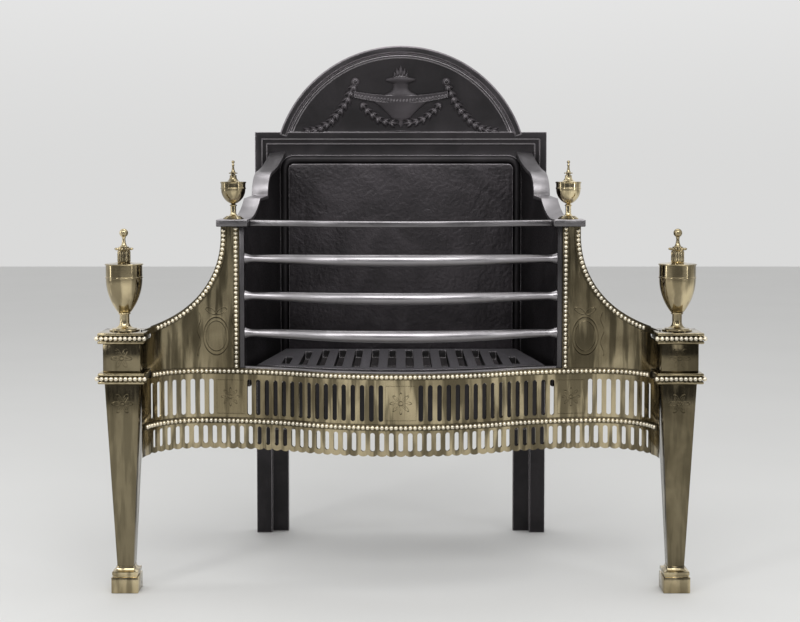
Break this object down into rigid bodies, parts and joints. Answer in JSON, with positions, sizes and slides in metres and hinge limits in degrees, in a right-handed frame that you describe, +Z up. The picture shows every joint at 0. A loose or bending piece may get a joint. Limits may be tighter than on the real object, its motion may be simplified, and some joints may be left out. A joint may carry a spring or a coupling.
{
  "type": "dog grate",
  "caption": "Free-standing dog grate: arched cast iron fireback, polished steel fire bars, pierced serpentine brass fret and urn finials on tapered legs.",
  "frame": {"origin": "on the floor, under the middle of the grate's bounding box", "axes": "+X to the grate's left-hand side as it faces the room, seen on the right of the picture; +Y towards the fireback; +Z up"},
  "size_m": [0.9, 0.4084, 0.842],
  "materials": {
    "brass": "polished",
    "steel": "polished",
    "iron": "blackened"
  },
  "bodies": {
    "frame": {"fireback": "iron", "fire_slab": "iron", "fireback_bolts": "iron", "fireback_nuts": "iron", "cheek_left": "iron", "cheek_right": "iron", "coping_left": "steel", "coping_right": "steel", "grate_bearer_left": "iron", "grate_bearer_right": "iron", "standard_left": "steel", "standard_right": "steel", "standard_cap_left": "steel", "standard_cap_right": "steel", "top_bar": "steel", "fire_bar_upper": "steel", "fire_bar_middle": "steel", "fire_bar_lower": "steel", "rail": "steel", "fret": "brass", "fret_upper_beading": "brass", "fret_lower_beading": "brass", "wing_panel_left": "brass", "wing_panel_right": "brass", "wing_sweep_beading_left": "brass", "wing_sweep_beading_right": "brass", "wing_inner_beading_left": "brass", "wing_inner_beading_right": "brass", "foot_left": "brass", "foot_right": "brass", "leg_left": "brass", "leg_right": "brass", "lower_cap_left": "brass", "lower_cap_right": "brass", "die_left": "brass", "die_right": "brass", "upper_cap_left": "brass", "upper_cap_right": "brass", "tie_rod_left": "iron", "tie_rod_right": "iron", "large_urn_left": "brass", "large_urn_right": "brass", "large_urn_lid_left": "brass", "large_urn_lid_right": "brass", "small_urn_left": "brass", "small_urn_right": "brass", "small_urn_lid_left": "brass", "small_urn_lid_right": "brass"},
    "grate": {"hearth_grate": "iron"}
  },
  "joints": [
    {"name": "grate_lift", "type": "slide", "parent": "frame", "child": "grate", "axis": [0, 0, 1], "range_m": [0, 0.36]}
  ]
}
